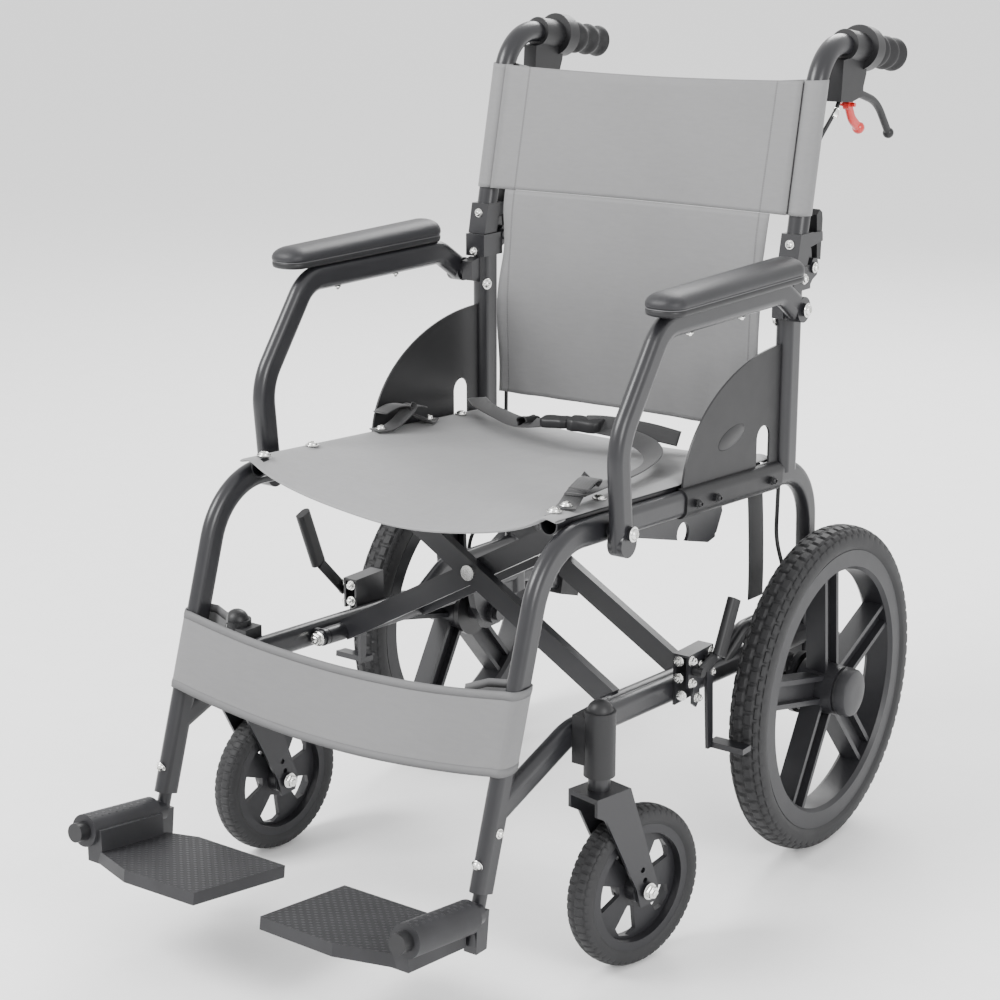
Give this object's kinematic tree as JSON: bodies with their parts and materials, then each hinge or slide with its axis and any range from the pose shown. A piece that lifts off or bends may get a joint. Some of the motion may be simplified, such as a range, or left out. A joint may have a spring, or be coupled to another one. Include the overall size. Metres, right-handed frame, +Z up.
{
  "type": "transport wheelchair",
  "caption": "Folding attendant-propelled wheelchair with a scissor cross frame, spoked rear wheels, swivel casters, flip-up footplates, padded armrests and a half-folding back.",
  "frame": {"origin": "on the floor, midway between the side frames and under the middle of the chair's overall length", "axes": "+Z up; -Y is the direction the chair faces; +X is towards the sitter's left"},
  "size_m": [0.645, 1.0094, 0.9804],
  "materials": {
    "frame_paint": "satin powder coat",
    "fork_paint": "satin",
    "brake_black": "matt",
    "zinc": "bright zinc plate",
    "black_plastic": "fine grained",
    "wheel_plastic": "satin",
    "plate_plastic": "textured",
    "red_plastic": "gloss",
    "black_rubber": "matt",
    "tyre_rubber": "matt",
    "pad_skin": "soft satin",
    "seat_cloth": "woven",
    "back_cloth": "woven",
    "webbing": "woven webbing"
  },
  "bodies": {
    "left_frame": {"left_side_frame": "frame_paint", "left_tip_pad": "black_rubber", "left_frame_fittings": "zinc", "left_skirt_guard": "black_plastic", "left_caster_housing": "black_plastic", "left_drum_brake": "brake_black", "left_lock_bracket": "frame_paint", "left_back_hinge": "frame_paint", "left_armrest_tube": "frame_paint", "left_armrest_pad": "pad_skin"},
    "left_back": {"left_push_handle": "frame_paint", "left_hand_grip": "black_rubber", "left_brake_housing": "black_plastic"},
    "left_brake": {"left_brake_lever": "black_plastic"},
    "left_latch": {"left_parking_latch": "red_plastic"},
    "left_release": {"left_back_release": "black_plastic"},
    "left_wheel": {"left_rear_tyre": "tyre_rubber", "left_rear_rim": "wheel_plastic"},
    "left_caster": {"left_caster_fork": "fork_paint"},
    "left_caster_wheel": {"left_caster_rim": "wheel_plastic", "left_caster_tyre": "tyre_rubber"},
    "left_footrest": {"left_footrest_tube": "frame_paint", "left_footplate_pin": "black_plastic"},
    "left_footplate": {"left_footplate": "plate_plastic"},
    "left_lock": {"left_lock_lever": "black_plastic"},
    "left_shoe": {"left_lock_shoe": "frame_paint"},
    "right_frame": {"right_side_frame": "frame_paint", "right_tip_pad": "black_rubber", "right_frame_fittings": "zinc", "right_skirt_guard": "black_plastic", "right_caster_housing": "black_plastic", "right_drum_brake": "brake_black", "right_lock_bracket": "frame_paint", "right_back_hinge": "frame_paint", "right_armrest_tube": "frame_paint", "right_armrest_pad": "pad_skin", "seat_fabric": "seat_cloth", "back_lower": "back_cloth", "calf_strap": "back_cloth", "seat_belt": "webbing"},
    "right_back": {"right_push_handle": "frame_paint", "right_hand_grip": "black_rubber", "right_brake_housing": "black_plastic", "back_upper": "back_cloth"},
    "right_brake": {"right_brake_lever": "black_plastic"},
    "right_latch": {"right_parking_latch": "red_plastic"},
    "right_release": {"right_back_release": "black_plastic"},
    "right_wheel": {"right_rear_tyre": "tyre_rubber", "right_rear_rim": "wheel_plastic"},
    "right_caster": {"right_caster_fork": "fork_paint"},
    "right_caster_wheel": {"right_caster_rim": "wheel_plastic", "right_caster_tyre": "tyre_rubber"},
    "right_footrest": {"right_footrest_tube": "frame_paint", "right_footplate_pin": "black_plastic"},
    "right_footplate": {"right_footplate": "plate_plastic"},
    "right_lock": {"right_lock_lever": "black_plastic"},
    "right_shoe": {"right_lock_shoe": "frame_paint"},
    "cross_a": {"cross_arm_a": "frame_paint", "cross_pivots": "zinc"},
    "cross_b": {"cross_arm_b": "frame_paint"}
  },
  "joints": [
    {"name": "fold", "type": "hinge", "parent": "right_frame", "child": "cross_a", "pos_m": [-0.2, 0.00984, 0.2626], "axis": [0, -0.9981, 0.0615], "range_deg": [0, 48], "deforming": ["seat_fabric", "back_upper", "back_lower", "calf_strap", "seat_belt"]},
    {"name": "scissor", "type": "hinge", "parent": "cross_a", "child": "cross_b", "pos_m": [0, 0.01677, 0.3751], "axis": [0, -0.9981, 0.0615], "range_deg": [-96, 0]},
    {"name": "left_fold", "type": "hinge", "parent": "cross_b", "child": "left_frame", "pos_m": [0.2, 0.00984, 0.2626], "axis": [0, -0.9981, 0.0615], "range_deg": [0, 48]},
    {"name": "left_back_fold", "type": "hinge", "parent": "left_frame", "child": "left_back", "pos_m": [0.224, 0.27784, 0.708], "axis": [-1, 0, 0], "range_deg": [0, 100]},
    {"name": "left_brake_squeeze", "type": "hinge", "parent": "left_back", "child": "left_brake", "pos_m": [0.2196, 0.39384, 0.906], "axis": [1, 0, 0], "range_deg": [0, 22], "stiffness_Nm_per_rad": 1, "springref_deg": -11.46},
    {"name": "left_latch_turn", "type": "hinge", "parent": "left_back", "child": "left_latch", "pos_m": [0.2196, 0.38384, 0.888], "axis": [-1, 0, 0], "range_deg": [0, 25]},
    {"name": "left_release_press", "type": "hinge", "parent": "left_back", "child": "left_release", "pos_m": [0.224, 0.29484, 0.742], "axis": [1, 0, 0], "range_deg": [0, 15], "stiffness_Nm_per_rad": 0.5, "springref_deg": -11.46},
    {"name": "left_wheel_spin", "type": "hinge", "parent": "left_frame", "child": "left_wheel", "pos_m": [0.28, 0.26234, 0.2], "axis": [1, 0, 0], "continuous": true},
    {"name": "left_caster_swivel", "type": "hinge", "parent": "left_frame", "child": "left_caster", "pos_m": [0.256, -0.19616, 0.27], "axis": [0, 0, 1], "continuous": true},
    {"name": "left_caster_spin", "type": "hinge", "parent": "left_caster", "child": "left_caster_wheel", "pos_m": [0.26723, -0.14334, 0.091], "axis": [0.9781, -0.2079, 0], "continuous": true},
    {"name": "left_footrest_slide", "type": "slide", "parent": "left_frame", "child": "left_footrest", "axis": [0, 0.3071, 0.9517], "range_m": [-0.05, 0]},
    {"name": "left_footplate_flip", "type": "hinge", "parent": "left_footrest", "child": "left_footplate", "pos_m": [0.222, -0.38216, 0.1345], "axis": [0, -0.9897, 0.143], "range_deg": [-95.04, 0]},
    {"name": "left_lock_lever", "type": "hinge", "parent": "left_frame", "child": "left_lock", "pos_m": [0.255, 0.00384, 0.29], "axis": [1, 0, 0], "range_deg": [0, 55]},
    {"name": "left_lock_shoe", "type": "hinge", "parent": "left_frame", "child": "left_shoe", "pos_m": [0.252, 0.03184, 0.296], "axis": [1, 0, 0], "range_deg": [-5.5, 0]},
    {"name": "right_back_fold", "type": "hinge", "parent": "right_frame", "child": "right_back", "pos_m": [-0.224, 0.27784, 0.708], "axis": [-1, 0, 0], "range_deg": [0, 100]},
    {"name": "right_brake_squeeze", "type": "hinge", "parent": "right_back", "child": "right_brake", "pos_m": [-0.2196, 0.39384, 0.906], "axis": [1, 0, 0], "range_deg": [0, 22], "stiffness_Nm_per_rad": 1, "springref_deg": -11.46},
    {"name": "right_latch_turn", "type": "hinge", "parent": "right_back", "child": "right_latch", "pos_m": [-0.2196, 0.38384, 0.888], "axis": [-1, 0, 0], "range_deg": [0, 25]},
    {"name": "right_release_press", "type": "hinge", "parent": "right_back", "child": "right_release", "pos_m": [-0.224, 0.29484, 0.742], "axis": [1, 0, 0], "range_deg": [0, 15], "stiffness_Nm_per_rad": 0.5, "springref_deg": -11.46},
    {"name": "right_wheel_spin", "type": "hinge", "parent": "right_frame", "child": "right_wheel", "pos_m": [-0.28, 0.26234, 0.2], "axis": [1, 0, 0], "continuous": true},
    {"name": "right_caster_swivel", "type": "hinge", "parent": "right_frame", "child": "right_caster", "pos_m": [-0.256, -0.19616, 0.27], "axis": [0, 0, 1], "continuous": true},
    {"name": "right_caster_spin", "type": "hinge", "parent": "right_caster", "child": "right_caster_wheel", "pos_m": [-0.25129, -0.14236, 0.091], "axis": [0.9962, -0.0872, 0], "continuous": true},
    {"name": "right_footrest_slide", "type": "slide", "parent": "right_frame", "child": "right_footrest", "axis": [0, 0.3071, 0.9517], "range_m": [-0.05, 0]},
    {"name": "right_footplate_flip", "type": "hinge", "parent": "right_footrest", "child": "right_footplate", "pos_m": [-0.222, -0.38216, 0.1345], "axis": [0, 0.9897, -0.143], "range_deg": [-95.04, 0]},
    {"name": "right_lock_lever", "type": "hinge", "parent": "right_frame", "child": "right_lock", "pos_m": [-0.255, 0.00384, 0.29], "axis": [1, 0, 0], "range_deg": [-55, 0]},
    {"name": "right_lock_shoe", "type": "hinge", "parent": "right_frame", "child": "right_shoe", "pos_m": [-0.252, 0.03184, 0.296], "axis": [1, 0, 0], "range_deg": [0, 5.5]}
  ],
  "couplings": [
    {"joint": "scissor", "follows": "fold", "ratio": -2},
    {"joint": "left_fold", "follows": "fold", "ratio": 1},
    {"joint": "left_footplate_flip", "follows": "fold", "ratio": -1.98},
    {"joint": "left_lock_shoe", "follows": "left_lock_lever", "ratio": -0.1},
    {"joint": "right_footplate_flip", "follows": "fold", "ratio": -1.98},
    {"joint": "right_lock_shoe", "follows": "right_lock_lever", "ratio": -0.1},
    {"joint": "left_back_fold", "follows": "right_back_fold", "ratio": 1}
  ]
}
